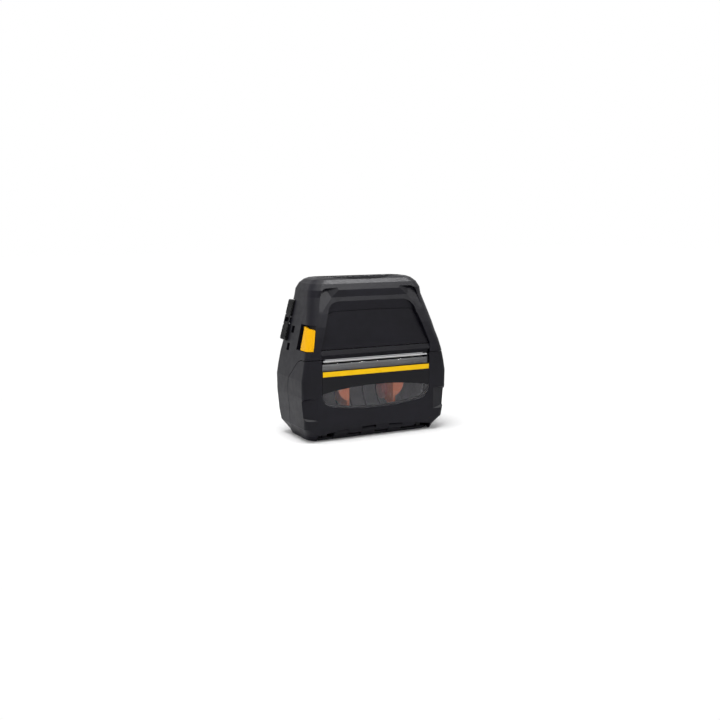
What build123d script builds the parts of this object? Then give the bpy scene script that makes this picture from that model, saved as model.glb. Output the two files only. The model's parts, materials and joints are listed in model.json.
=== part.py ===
from build123d import *

import os
from math import atan2, cos, degrees, hypot, pi, radians, sin, sqrt, tan

# Portable label printer: hinged media door with a clear window, push latch, print drive and roll guides.
# Millimetres. X is the width, -Y is the front, +Z is up. The origin is on the ground, under the body's middle.

# Body outline: height, half width, front, back, corner radius
body_levels = (
    (0.6, 69.3, -29.5, 27.5, 14.0),
    (5.0, 70.8, -31.0, 30.0, 13.0),
    (13.5, 76.2, -33.3, 32.5, 6.0),
    (24.0, 77.2, -33.4, 33.4, 4.0),
    (44.0, 79.1, -33.4, 33.5, 4.0),
    (60.0, 79.3, -33.5, 33.5, 4.0),
    (70.0, 77.6, -33.4, 33.5, 4.0),
    (82.0, 75.4, -33.1, 33.5, 5.0),
    (92.0, 73.2, -32.1, 33.4, 7.0),
    (101.0, 71.1, -30.6, 33.3, 10.0),
    (110.0, 69.0, -28.3, 33.2, 10.5),
    (122.0, 66.1, -24.0, 33.0, 11.0),
    (137.0, 62.5, -17.9, 32.6, 11.5),
)
crown_height = 18.0
crown_side = 14.3
crown_front = 13.0
crown_back = 11.0
crown_angles = (22, 44, 64, 79, 90)
front_face = min(level[2] for level in body_levels)
back_face = max(level[3] for level in body_levels)
shoulder_height = body_levels[-1][0]
shoulder_front = body_levels[-1][2]
top_face = shoulder_height + crown_height
wall = 2.4

# Clearances, and how far a cutter reaches past the body
fit_gap = 0.3
run_gap = 0.05
seam_gap = 0.6
lap = 0.1
far = 90.0

# Hollow over each bumper of the door: its outline seen from the side, and three points of its slanted floor
relief_outline = ((-far, 43.5), (-33.2, 43.5), (-25.0, 38.0), (-25.0, 27.0), (-33.6, 21.5), (-far, 21.5))
relief_points = ((63.5, -33.6, 24.0), (63.5, -33.6, 42.0), (79.0, -28.4, 33.0))

# Shoulder crease: three points of its floor, three of the face that runs out to its tip, and its deep edge
# seen from the front
crease_points = ((-40.3, -17.9, 137.2), (-47.5, -20.3, 131.0), (-50.7, -14.2, 142.6))
crease_tip_points = ((-32.8, -16.2, 146.0), (-41.5, -18.3, 136.2), (-46.0, -13.2, 145.5))
crease_rim = ((-32.6, 146.0), (-51.3, 145.4), (-57.3, 123.8))
crease_rim_radius = 7.0
crease_wall = 1.4
crease_lining = 4.0

# Seam between door and housing, seen from the side
seam_front_height = 80.3
seam_shoulder = (-17.0, 79.2)
seam_back = 3.4
seam_back_top = 58.0
seam_back_low = 28.0
seam_heel = (6.8, 9.0)
seam_toe = (5.2, -5.0)
seam_shoulder_radius = 16.0
seam_back_radius = 18.0

# Door hinge and the arched edge over it
hinge_y = -27.0
hinge_z = 7.5
hinge_pin_radius = 1.5
hinge_pin_half = 46.0
knuckle_radius = 3.0
knuckle_length = 15.0
knuckle_count = 6
knuckle_clear = 0.35
hinge_bore_half = 50.0
chin_arch = 11.4
chin_arch_end = 6.2
chin_half_width = 66.4
chin_toe = 3.4
chin_toe_back = 24.0
door_arm = ((-29.6, 6.4), (-25.0, 9.4), (-27.4, 15.0), (-31.4, 15.0), (-31.4, 11.9))
ground_gap = 0.6

# Clear lens of the door
lens_half_width = 59.0
lens_top = 76.3
lens_bottom = 29.5
lens_end_drop = 6.0
lens_corner = 12.0
lens_thickness = 2.2
lens_nose = 4.0
window_rim = 1.5
window_arch_end = 46.8
window_arch_top = 52.3
stripe_low = 63.1
stripe_high = 67.9
stripe_half_width = 58.6
stripe_depth = 0.6

# Door inner frame
frame_front_inset = 2.45
frame_back_inset = 4.6
frame_half_width = 62.0
frame_low = 18.0
frame_shoulder = 60.0
frame_top = 74.0
frame_step = 3.0
bracket_inner = 56.9
bracket_thickness = 2.2
bracket_outline = ((-30.6, 62.0), (-18.2, 64.0), (-17.6, 72.5), (-19.5, 75.0), (-26.5, 75.0), (-30.2, 73.5))

# Platen, between the door brackets
platen_y = -22.5
platen_z = 70.5
platen_radius = 5.0
platen_half_length = 54.5
platen_shaft_radius = 2.0
platen_shaft_end = 61.0
bush_radius = 3.5

# Gears
gear_module = 0.7
platen_teeth = 18
idler_teeth = 22
motor_teeth = 14
gear_inner = 62.9
gear_width = 2.5
gear_backlash = 0.24
pressure_angle = 20
tooth_root = 1.2
tooth_tip = 0.85
flank_steps = 4
gear_end = gear_inner + gear_width
idler_axle_radius = 1.5
idler_flange = 1.0
motor_y = -2.5
motor_radius = 10.0
motor_back = 37.0
motor_front = 59.2
motor_boss_radius = 6.0
motor_shaft_radius = 1.0
motor_plug = (4.0, 14.0, 6.0, 12.5, 4.0)

# Printhead
head_half_width = 54.0
head_front = -27.5
head_back = -17.5
nip_gap = 0.3
ceramic_thickness = 1.4
heat_sink_height = 5.3
fin_pitch = 2.6
fin_gap = 1.2
fin_count = 3
fin_foot = 2.2
head_spring_height = 4.0
head_spring_x = 32.0
head_spring_width = 10.0
spring_sheet = 0.5
head_beam_height = 1.6
head_beam_front = -24.3
head_pin_x = 46.0
head_pin_y = -22.5
head_pin_radius = 1.1
tear_half_width = 57.5
tear_front = -32.9
tear_thickness = 1.2
tear_tooth = 2.5
tear_tooth_depth = 1.0
tear_flange = 1.1
cover_half_width = 59.5
cover_low = 79.4
cover_high = 88.0
cover_face = -30.6
cover_top_face = -31.0

# Side frame plates, seen from the side
plate_inner = 61.2
plate_thickness = 1.2
plate_top = 92.0
plate_foot = 5.4
plate_outline = (
    (-20.0, plate_foot), (-20.0, 34.0), (-15.5, 38.0), (-15.5, 60.0), (-11.5, 64.0), (-11.5, 75.5),
    (-19.0, 77.8), (-23.0, 82.0), (-23.0, plate_top), (8.0, plate_top), (26.0, 72.0), (26.5, 62.0),
    (26.5, 20.0), (23.5, plate_foot),
)
plate_holes = ((14.0, 24.0, 6.0), (14.0, 50.0, 6.0), (2.0, 64.0, 2.5))
plate_outer = plate_inner + plate_thickness

# Latch
latch_y = -15.0
latch_z = 81.0
latch_shaft_radius = 1.8
latch_boss_radius = 3.6
latch_travel = 3.5
hook_inner = 59.6
hook_thickness = 1.2
hook_tip_z = 73.1
hook_outline = (
    (-15.0, 84.6), (-23.5, 81.2), (-27.8, 78.4), (-27.8, hook_tip_z), (-25.8, hook_tip_z), (-25.2, 76.3),
    (-18.0, 76.3), (-15.0, 77.4),
)
lever_outer = 63.9
lever_thickness = 1.2
lever_half_width = 2.4
lever_end = 1.6
stem_y = -19.5
stem_z = 96.0
stem_radius = 1.5
stem_gap = 0.15
stem_outer = 70.2

# Latch button in its pocket
pocket_inset = 6.0
pocket_wall = 1.4
pocket_back = -7.0
pocket_low = 87.5
pocket_high = 111.8
pocket_side = 62.3
pocket_foot = 67.2
stem_slot_half = 1.9
button_gap = 0.5
button_back = -15.2
button_outline = (
    (-far, pocket_low + 0.6), (button_back - 1.2, pocket_low + 0.6), (button_back, pocket_high - 1.6),
    (button_back - 7.0, pocket_high - 3.4), (-50.0, pocket_high - 9.5),
)

# Front panel, leaning back, and the brow over it
panel_foot = (-30.6, 88.8)
panel_lean = 16.5
panel_thickness = 1.6
panel_half_foot = 59.6
panel_half_top = 47.0
panel_height = 36.5
panel_corner = 11.0
panel_bow = 0.9
panel_gap = 0.5
recess_wall = 1.6
recess_depth = 14.0
brow_y = -19.5
brow_top = 133.6
brow_low = 108.8
brow_bow = 1.4
brow_margin = 1.5
brow_corner = 13.0

# Media bay
bay_z = 40.0
bay_radius = 29.3
bay_wall = 1.5
bay_end_inner = 59.4
bay_outline = (
    (-25.2, bay_z - 60.0), (-25.2, 20.0), (-10.0, bay_z), (0.0, bay_z), (20.0, bay_z + 34.6),
    (60.0, bay_z + 34.6), (60.0, bay_z - 60.0),
)
bay_end_box = (-18.0, 32.0, -32.0, 26.0)
bay_feet = ((16.0, 20.0), (-23.4, -20.0))
bay_foot_x = (50.0, 55.0)
rib_count = 7
rib_pitch = 16.0
rib_width = 1.0
rib_height = 0.7
rib_box = (10.0, 50.0, -21.0, 25.0)

# Roll guides, their rail, racks and pinion
guide_face = 24.5
guide_plate = 2.5
guide_tie = 1.0
guide_travel_out = 29.0
guide_travel_in = 11.5
guide_front = -21.0
guide_top = 50.5
guide_foot_low = 9.6
wing_reach = 36.5
wing_low = 36.0
wing_corner = (48.0, 40.4)
wing_thickness = 2.0
rail_y = -15.2
rail_z = 7.4
rail_radius = 1.3
rack_module = 1.0
rack_teeth = 12
rack_low = 3.1
rack_high = 5.7
rack_back = 10.0
rack_strip = 2.6
rack_reach = 35.0
rack_pin_radius = 1.4
tie_high = 8.5
disc_radius = 10.0
disc_thickness = 2.2
disc_hub_radius = 5.0
disc_pin_radius = 2.0
disc_pin_length = 3.6

# Label sensor bar
sensor_y = (-13.2, -9.4)
sensor_z = (67.6, 68.8)
sensor_eye = (5.0, -9.8, 70.2)

# Base and feet
base_half_width = chin_half_width - 2.2
base_corner = 11.0
base_front = -25.5
base_back = 25.6
base_low = 0.6
base_top = 2.8
base_arm = ((-28.8, 5.2), (-24.2, 8.5), (-21.5, base_top), (-21.5, base_low), (base_front, base_low))
ear_y = (8.0, 20.0)
ear_top = 9.0
foot_height = 1.4
foot_length = 16.0
foot_width = 8.0
foot_corner = 3.0
foot_x = 52.0
foot_front_y = -18.5
foot_back_y = 19.0

# Battery, its tray, contacts and latch
battery_half_width = 48.4
battery_low = 91.6
battery_high = 144.4
battery_front = 11.5
battery_gap = 0.4
tray_wall = 1.6
tray_post = (40.0, 14.0, 2.0)
contact_x = (-9.0, -3.0, 3.0, 9.0)
contact_up = 12.0
contact_half_width = 1.0
carrier_half_width = 11.6
carrier_depth = 2.0
battery_latch_half = 9.0
battery_latch_low = 84.5
battery_latch_travel = 2.0
battery_latch_lip = 2.0
grip_depth = 0.6

# Rear cover and its screws
rear_half_width = 56.0
rear_low = 16.0
rear_high = 80.0
rear_screw_x = 52.5
rear_screw_inset = 3.6
ledge_thickness = 1.8
ledge_half = 4.5
ledge_reach = 3.0
screw_radius = 1.25
screw_head_radius = 2.4
screw_head_height = 1.4
screw_slot = (1.5, 0.3, 0.9)
vent_count = 6
vent_low = 30.0
vent_pitch = 4.0
vent_width = 1.4
vent_half_length = 30.0
vent_depth = 0.7

# Control panel on the top
bezel_half_width = 47.0
bezel_back = 19.0
bezel_end = 1.0
bezel_front = -10.5
bezel_corner = 5.0
bezel_post = ((-43.0, 43.0), (4.0, 15.0), 1.6)
key_proud = 0.5
key_travel = 0.6
key_gap = 0.25
key_flange = 0.8
key_flange_thickness = 1.1
key_board_top = 149.4
key_board_thickness = 1.2
key_board_half = 45.5
key_board_y = (-7.5, 17.5)
display_x = (-36.0, -6.0)
display_y = (1.5, 15.5)
nav_center = (9.0, 5.5)
nav_radius = 8.0
feed_center = (27.0, 5.5)
feed_size = (9.0, 12.0)
feed_corner = 2.0
power_center = (40.0, 5.5)
power_radius = 3.6
soft_key_x = (-28.0, -14.0)
soft_key_y = -3.0
soft_key_size = (7.0, 3.4)
soft_key_corner = 1.2
light_x = (-3.0, 0.0, 3.0)
light_y = -6.0
light_radius = 0.9
light_sink = 1.0
skin_low = top_face - wall

# Ports at the back of the left side
port_y = 24.8
port_z = 112.5
port_side = 66.9
port_lean = 14.9
port_half_width = 6.3
port_half_height = 20.5
port_depth = 5.0
port_face = 0.8
port_recess = 6.0
port_hole_gap = 0.2
port_pin_offset = 3.4
port_pin_height = 2.5
port_pin_radius = 0.8
port_ear_half = 4.8
port_ear_inner = 5.0
port_door_low = 1.1
port_door_high = 3.4
port_door_near = 5.6
port_door_corner = 1.4
port_knuckle_half = 4.8
port_knuckle_radius = 1.4
port_rib = 0.5
port_rib_count = 4
port_rib_pitch = 2.9
port_rib_width = 1.2
socket_offset = 12.0
power_socket_radius = 4.2
power_socket_bore = 2.9
power_pin_radius = 0.9
data_socket_half = (4.7, 1.8)
data_socket_wall = 0.5
data_tongue_half = (3.2, 0.35)

# Strap slots: middle in Y, middle in Z
strap_slots = ((9.7, 105.0), (13.2, 88.0))
strap_width = 6.0
strap_height = 7.0

# Main board: chips are middle in X, middle in Z, width, height and thickness
board_y = -13.5
board_thickness = 1.6
board_half_width = 50.0
board_low = 96.0
board_high = 140.0
board_screw_x = 44.0
board_screw_inset = 4.0
standoff_radius = 3.0
chip_list = (
    (-20.0, 122.0, 14.0, 14.0, 1.2), (4.0, 118.0, 10.0, 12.0, 1.0), (24.0, 126.0, 18.0, 12.0, 2.4),
    (-36.0, 108.0, 10.0, 6.0, 3.0), (10.0, 102.0, 30.0, 5.0, 4.0), (32.0, 106.0, 8.0, 8.0, 3.5),
)

parts = {}
forms = {}


# Basic shapes placed by their limits
def block(x0, x1, y0, y1, z0, z1):
    return Pos((x0 + x1) / 2, (y0 + y1) / 2, (z0 + z1) / 2) * Box(x1 - x0, y1 - y0, z1 - z0)


def rod_x(x0, x1, y, z, radius):
    return Pos((x0 + x1) / 2, y, z) * Rot(0, 90, 0) * Cylinder(radius, x1 - x0)


def rod_y(y0, y1, x, z, radius):
    return Pos(x, (y0 + y1) / 2, z) * Rot(90, 0, 0) * Cylinder(radius, y1 - y0)


def rod_z(z0, z1, x, y, radius):
    return Pos(x, y, (z0 + z1) / 2) * Cylinder(radius, z1 - z0)


def slab(half, y0, y1, z0, z1):
    """A block that spans the middle of the body, half to each side."""
    return block(-half, half, y0, y1, z0, z1)


def side_plate(points, x0, x1):
    """A flat outline in the YZ plane, from x0 to x1."""
    face = Plane.YZ * make_face(Polyline(*points, close=True))
    return Pos(x0, 0, 0) * extrude(face, amount=x1 - x0)


def mirrored(shape):
    return mirror(shape, Plane.YZ)


def both_sides(shape):
    return shape + mirrored(shape)


def round_corners(face, corners, radius):
    """Round the corners of a flat outline that lie nearest the points given."""
    chosen = [face.vertices().sort_by_distance((x, y, 0))[0] for x, y in corners]
    return fillet(chosen, radius)


def past_plane(points, toward, gap=0.0):
    """All that lies past the plane through three points, on the side that toward names, from a gap before it."""
    first, second, third = [Vector(*point) for point in points]
    normal = (second - first).cross(third - first).normalized()
    if normal.dot(Vector(*toward)) < 0:
        normal = normal * -1
    plane = Plane(origin=first - normal * gap, x_dir=second - first, z_dir=normal)
    return plane * block(-far, far, -far, far, 0, far)


# Body
def form(inset):
    """The body's outer shape, drawn in by a wall."""
    if inset in forms:
        return forms[inset]
    sections = []
    for height, half, front, back, corner in body_levels:
        if not sections:
            height += inset
        elif height < sections[0][0] + fit_gap:
            continue
        sections.append((height, half - inset, front + inset, back - inset, max(corner - 0.8 * inset, 0.5)))
    height, half, front, back, corner = body_levels[-1]
    for angle in crown_angles:
        rise, run = sin(radians(angle)), cos(radians(angle))
        sections.append((
            height + (crown_height - inset) * rise,
            half - crown_side * (1 - run) - inset * run,
            front + crown_front * (1 - run) + inset * run,
            back - crown_back * (1 - run) - inset * run,
            corner - 0.8 * inset * run - rise,
        ))
    faces = []
    for z, half, front, back, corner in sections:
        faces.append(Pos(0, (front + back) / 2, z) * RectangleRounded(2 * half, back - front, corner))
    forms[inset] = loft(faces, ruled=True)
    return forms[inset]


def bumper_form(inset):
    """The outer shape with the hollow over each bumper."""
    face = make_face(Polyline(*relief_outline, close=True))
    if inset:
        face = offset(face, inset, kind=Kind.INTERSECTION)
    relief = extrude(Plane.YZ * face, amount=far) & past_plane(relief_points, (1, -1, 0), inset)
    return form(inset) - relief - mirrored(relief)


def body_shell():
    """The hollow body before the door and the covers are parted from it, with a crease at each shoulder."""
    shell = bumper_form(0) - bumper_form(wall)
    (x0, z0), (x1, z1), (x2, z2) = crease_rim
    region = make_face(Polyline((x0, z0), (x1, z1), (x2, z2), (x0, z2), close=True))
    region = round_corners(region, [(x1, z1)], crease_rim_radius)
    crease = past_plane(crease_points, (0, -1, 0)) & past_plane(crease_tip_points, (0, -1, 0))
    crease = crease & extrude(Plane.XZ * region, amount=far)
    around = block(x2 - crease_lining, x0 + crease_lining, -far, -8, z2 - crease_lining, z0 + crease_lining)
    thicker = (form(wall) - form(wall + crease_wall)) & around
    return shell + both_sides(thicker) - both_sides(crease)


# Seam between door and housing
def seam_prism(gap):
    front = front_face - 12
    shoulder, corner = seam_shoulder, (seam_back, seam_back_top)
    face = make_face(Polyline(
        (front, seam_front_height), shoulder, corner, (seam_back, seam_back_low), seam_heel, seam_toe,
        (front, seam_toe[1]), close=True))
    face = round_corners(face, [shoulder], seam_shoulder_radius)
    face = round_corners(face, [corner], seam_back_radius)
    if gap:
        face = offset(face, -gap, kind=Kind.INTERSECTION)
    return extrude(Plane.YZ * face, amount=far, both=True)


# Gears, with a tooth on the angle given, seen along the axis
def gear_points(teeth, module, turn):
    pitch = module * teeth / 2
    base = pitch * cos(radians(pressure_angle))
    tip = pitch + tooth_tip * module
    root = pitch - tooth_root * module
    half = pi / (2 * teeth) - gear_backlash / (2 * pitch)
    start = max(base, root + run_gap)
    pitch_roll = sqrt((pitch / base) ** 2 - 1)
    flank = []
    for step in range(flank_steps):
        radius = start + (tip - start) * step / (flank_steps - 1)
        roll = sqrt(max((radius / base) ** 2 - 1, 0))
        lean = (roll - atan2(roll, 1)) - (pitch_roll - atan2(pitch_roll, 1))
        flank.append((radius, half - lean))
    foot = flank[0][1] + 0.02
    points = []
    for tooth in range(teeth):
        middle = turn + 2 * pi * tooth / teeth
        points.append((root, middle - foot))
        points += [(radius, middle - angle) for radius, angle in flank]
        points += [(radius, middle + angle) for radius, angle in reversed(flank)]
        points.append((root, middle + foot))
    return [(radius * cos(angle), radius * sin(angle)) for radius, angle in points]


def gear_x(teeth, turn, y, z, bore):
    """A spur gear on an axis along X."""
    face = make_face(Polyline(*gear_points(teeth, gear_module, turn), close=True))
    gear = Pos(gear_inner, y, z) * extrude(Plane.YZ * face, amount=gear_width)
    return gear - rod_x(gear_inner - 1, gear_end + 1, y, z, bore)


# Outlines of the covers
def panel_plane(back):
    """The leaning plane of the front panel, moved back from its face."""
    lean = radians(panel_lean)
    normal = Vector(0, -cos(lean), sin(lean))
    foot = Vector(0, panel_foot[0], panel_foot[1]) - normal * back
    return Plane(origin=foot, x_dir=(1, 0, 0), z_dir=normal)


def bowed_outline(half_low, low, half_high, high, bow, corner):
    """A symmetrical outline with a bowed top edge and rounded upper corners."""
    end = high - bow
    face = make_face(
        Polyline((-half_high, end), (-half_low, low), (half_low, low), (half_high, end))
        + ThreePointArc((half_high, end), (0, high), (-half_high, end)))
    return round_corners(face, [(-half_high, end), (half_high, end)], corner)


def panel_outline(grow):
    return bowed_outline(panel_half_foot + grow, -grow, panel_half_top + grow, panel_height + grow, panel_bow,
                         panel_corner + grow)


def brow_outline(grow):
    half = panel_half_top + brow_margin + grow
    return bowed_outline(half, brow_low, half, brow_top + grow, brow_bow, brow_corner)


def bezel_outline(grow):
    half, back, end = bezel_half_width + grow, bezel_back + grow, bezel_end
    front = bezel_front - grow
    face = make_face(
        Polyline((-half, end), (-half, back), (half, back), (half, end))
        + ThreePointArc((half, end), (0, front), (-half, end)))
    return round_corners(face, [(-half, back), (half, back)], bezel_corner)


def base_outline(grow):
    width = 2 * (base_half_width + grow)
    deep = base_back - base_front + 2 * grow
    return Pos(0, (base_front + base_back) / 2) * RectangleRounded(width, deep, base_corner + grow)


def pocket_region(grow):
    """The hollow that the latch button sits in, open to the left and to the front."""
    low, high = pocket_low - grow, pocket_high + grow
    foot, side = grow - pocket_foot, grow - pocket_side
    face = make_face(Polyline((-far, low), (foot, low), (side, high), (-far, high), close=True))
    return extrude(Plane.XZ.offset(-pocket_back - grow) * face, amount=far)


# Ports stand square to a leaning plane at the back of the left side
port_plane = Plane(
    origin=(-port_side, port_y, port_z),
    x_dir=(0, -1, 0),
    z_dir=(-cos(radians(port_lean)), 0, sin(radians(port_lean))),
)


def port_box(x0, x1, y0, y1, z0, z1):
    return port_plane * block(x0, x1, y0, y1, z0, z1)


def port_rod(y, z0, z1, radius):
    """A rod square to the port plane."""
    return port_plane * rod_z(z0, z1, 0, y, radius)


def port_axis_rod(side, half, radius):
    """A rod along the hinge line of a port cover."""
    return port_plane * rod_x(-half, half, side * port_pin_offset, port_pin_height, radius)


# Housing and its covers
def board_screw_places():
    return [(side * board_screw_x, z) for side in (-1, 1)
            for z in (board_low + board_screw_inset, board_high - board_screw_inset)]


def rear_screw_heights():
    return rear_low + rear_screw_inset, rear_high - rear_screw_inset


def front_recess_lining():
    """Walls that close the housing behind the front panel and under the brow."""
    lining = extrude(panel_plane(panel_thickness + recess_wall) * panel_outline(panel_gap + recess_wall),
                     amount=recess_depth)
    lining += extrude(Plane.XZ.offset(-brow_y - recess_wall) * brow_outline(recess_wall), amount=recess_depth)
    return lining & form(0)


def add_standoffs(housing):
    """Posts with screw bores that carry the main board behind the front panel."""
    for x, z in board_screw_places():
        recess = panel_foot[0] + (z - panel_foot[1]) * tan(radians(panel_lean)) + panel_thickness + 0.9
        front = shoulder_front + 1.2 if z > brow_top else recess
        housing += rod_y(front, board_y, x, z, standoff_radius)
        housing -= rod_y(front + 1.0, board_y + 1, x, z, screw_radius - 3 * run_gap)
    return housing


def cut_rear_openings(housing):
    """Openings for the battery, its latch and the rear cover, with ledges for the cover's screws."""
    inside = back_face - 11
    edge = battery_half_width + battery_gap + fit_gap
    clear = battery_gap + fit_gap
    housing -= slab(edge, inside, far, battery_low - clear, battery_high + clear)
    low = battery_latch_low - battery_latch_travel - fit_gap
    housing -= slab(battery_latch_half + fit_gap, inside, far, low, battery_low)
    edge = rear_half_width + fit_gap
    housing -= slab(edge, inside, far, rear_low - fit_gap, rear_high + fit_gap)
    seat = back_face - wall
    outer = rear_half_width + ledge_reach
    for z in rear_screw_heights():
        low, high = z - ledge_half, z + ledge_half
        ledge = block(rear_screw_x - 4, outer, seat - ledge_thickness, seat, low, high)
        ledge += block(edge, outer, seat - ledge_thickness, seat + 0.8, low, high)
        housing += both_sides(ledge)
        housing -= both_sides(rod_y(seat - 2, seat + 2, rear_screw_x, z, screw_radius + run_gap))
    return housing


def make_housing(shell):
    housing = shell - seam_prism(0)
    housing += front_recess_lining()
    housing += (form(0) - form(pocket_inset + pocket_wall)) & pocket_region(pocket_wall)
    housing = add_standoffs(housing)
    housing -= extrude(panel_plane(panel_thickness) * panel_outline(panel_gap), amount=recess_depth)
    housing -= extrude(Plane.XZ.offset(-brow_y) * brow_outline(0), amount=far)
    housing -= slab(cover_half_width + fit_gap, -far, -22, platen_z - 10, panel_foot[1] + lap)
    housing -= (form(0) - form(pocket_inset)) & pocket_region(0)
    slot_y = (stem_y - stem_radius * 2, stem_y + latch_travel + stem_radius * 2)
    housing -= block(-far, -lever_outer + 3.9, *slot_y, stem_z - stem_slot_half, stem_z + stem_slot_half)
    for y, z in strap_slots:
        half, high = strap_width / 2, strap_height / 2
        housing -= both_sides(block(plate_inner - 1.2, far, y - half, y + half, z - high, z + high))
    housing = cut_rear_openings(housing)
    housing -= extrude(Pos(0, 0, -1) * base_outline(fit_gap), amount=base_top + fit_gap + 1)
    housing -= extrude(Pos(0, 0, skin_low - 7.6) * bezel_outline(fit_gap), amount=far)
    half, high = port_half_width + port_hole_gap, port_half_height + port_hole_gap
    housing -= port_box(-half, half, -high, high, -port_depth - port_recess, port_depth + port_recess)
    parts["main_housing"] = housing


def make_front_covers():
    parts["front_panel"] = extrude(panel_plane(panel_thickness) * panel_outline(0), amount=panel_thickness)
    back = head_front - tear_flange
    parts["printhead_cover"] = side_plate((
        (cover_top_face, cover_high), (tear_front, cover_high - 4.3), (tear_front, cover_high - 5.1),
        (cover_face, cover_high - 5.9), (cover_face, cover_low), (back, cover_low), (back, cover_high),
    ), -cover_half_width, cover_half_width)
    low = platen_z + platen_radius + nip_gap + ceramic_thickness
    edge = []
    for tooth in range(int(2 * tear_half_width / tear_tooth)):
        x = -tear_half_width + tooth * tear_tooth
        edge += [(x, tear_front + tear_tooth_depth), (x + tear_tooth / 2, tear_front)]
    edge += [(tear_half_width, tear_front + tear_tooth_depth), (tear_half_width, head_front)]
    edge += [(-tear_half_width, head_front)]
    blade = Pos(0, 0, low) * extrude(make_face(Polyline(*edge, close=True)), amount=tear_thickness)
    parts["tear_bar"] = blade + slab(head_half_width, back, head_front, low, low + heat_sink_height - fit_gap)


def rear_screw(x, z):
    head_low = back_face - screw_head_height
    screw = rod_y(head_low, back_face - 0.25, x, z, screw_head_radius)
    screw += rod_y(back_face - wall - ledge_thickness + lap, head_low, x, z, screw_radius)
    reach, half, depth = screw_slot
    return screw - block(x - reach, x + reach, back_face - depth, back_face, z - half, z + half)


def make_rear():
    """The rear cover, returning its screws."""
    cover = slab(rear_half_width, back_face - wall, back_face + 3, rear_low, rear_high) & form(0)
    screws = []
    for z in rear_screw_heights():
        for x in (-rear_screw_x, rear_screw_x):
            cover -= rod_y(back_face - 4, back_face + 2, x, z, screw_radius + 0.2)
            cover -= rod_y(back_face - screw_head_height, back_face + 2, x, z, screw_head_radius + 0.2)
            screws.append(rear_screw(x, z))
    for row in range(vent_count):
        z = vent_low + vent_pitch * row
        cover -= slab(vent_half_length, back_face - vent_depth, back_face + 1, z, z + vent_width)
    parts["rear_cover"] = cover
    return screws


# Base and hinge
def knuckles(first):
    """Limits of every second knuckle of the door hinge, counted from the left."""
    start = -knuckle_length * knuckle_count / 2
    limits = []
    for index in range(first, knuckle_count, 2):
        x0 = start + index * knuckle_length + fit_gap / 2
        limits.append((x0, x0 + knuckle_length - fit_gap))
    return limits


def hinge_bore():
    return rod_x(-hinge_bore_half, hinge_bore_half, hinge_y, hinge_z, hinge_pin_radius + run_gap)


def foot_block(x, y, grow):
    size = (foot_length + grow, foot_width + grow)
    return extrude(Pos(x, y, 0) * RectangleRounded(*size, foot_corner + grow / 3), amount=foot_height)


def make_base():
    base = extrude(Pos(0, 0, base_low) * base_outline(0), amount=base_top - base_low)
    for x0, x1 in knuckles(0):
        base += side_plate(base_arm, x0, x1) + rod_x(x0, x1, hinge_y, hinge_z, knuckle_radius)
    base -= hinge_bore()
    base += rod_z(base_top - lap, rack_high + 0.5, 0, 0, rack_pin_radius)
    ear_inner = guide_face + guide_travel_out + guide_plate + guide_tie + fit_gap
    base += both_sides(block(ear_inner, plate_inner, *ear_y, base_top - lap, ear_top))
    feet = []
    for x in (-foot_x, foot_x):
        for y in (foot_front_y, foot_back_y):
            base -= foot_block(x, y, fit_gap)
            feet.append(foot_block(x, y, 0))
    parts["base_plate"] = base
    parts["rubber_feet"] = Compound(feet)
    parts["door_hinge_pin"] = rod_x(-hinge_pin_half, hinge_pin_half, hinge_y, hinge_z, hinge_pin_radius)


# Media door
def lens_outline(shrink, top):
    half = lens_half_width - shrink
    end = lens_bottom + lens_end_drop + shrink
    face = make_face(
        Polyline((-half, end), (-half, top), (half, top), (half, end))
        + ThreePointArc((half, end), (0, lens_bottom + shrink), (-half, end)))
    return round_corners(face, [(-half, end), (half, end)], lens_corner - shrink)


def under_arch(half, end, middle, low):
    """All that lies under an arched line, seen from the front."""
    return make_face(
        ThreePointArc((-half, end), (0, middle), (half, end))
        + Polyline((half, end), (half, low), (-half, low), (-half, end)))


def front_prism(face):
    return extrude(Plane.XZ * face, amount=far)


def past_nose(radius):
    """All that lies past the rounded top edge of the lens, or past a smaller round about the same line."""
    y, z = front_face + lens_nose, lens_top - lens_nose
    return slab(far, -far, y, z, lens_top + 5) - rod_x(-far - 1, far + 1, y, z, radius)


def make_door(shell):
    door = shell & seam_prism(seam_gap)
    door -= front_prism(lens_outline(-fit_gap, seam_front_height + 5))
    edge = Plane.XZ.offset(chin_toe_back)
    door -= extrude(edge * under_arch(chin_half_width, chin_arch_end, chin_arch, -3), amount=-far)
    door -= extrude(edge * under_arch(chin_half_width - chin_toe, chin_arch_end, chin_arch, -3), amount=far)
    sweep = rod_x(-far - 1, far + 1, hinge_y, hinge_z, hinge_z - ground_gap)
    door -= slab(far, -far, hinge_y, -2, hinge_z) - sweep
    for x0, x1 in knuckles(0):
        door -= rod_x(x0 - fit_gap, x1 + fit_gap, hinge_y, hinge_z, knuckle_radius + knuckle_clear)
    for x0, x1 in knuckles(1):
        door += side_plate(door_arm, x0, x1) + rod_x(x0, x1, hinge_y, hinge_z, knuckle_radius)
    parts["media_door"] = door - hinge_bore()

    lens = (form(0) - form(lens_thickness)) & front_prism(lens_outline(0, lens_top))
    lens -= past_nose(lens_nose)
    band = slab(stripe_half_width, -far, -20, stripe_low, stripe_high) & (form(0) - form(stripe_depth))
    parts["yellow_stripe"] = lens & band
    parts["door_lens"] = lens - band


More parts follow.
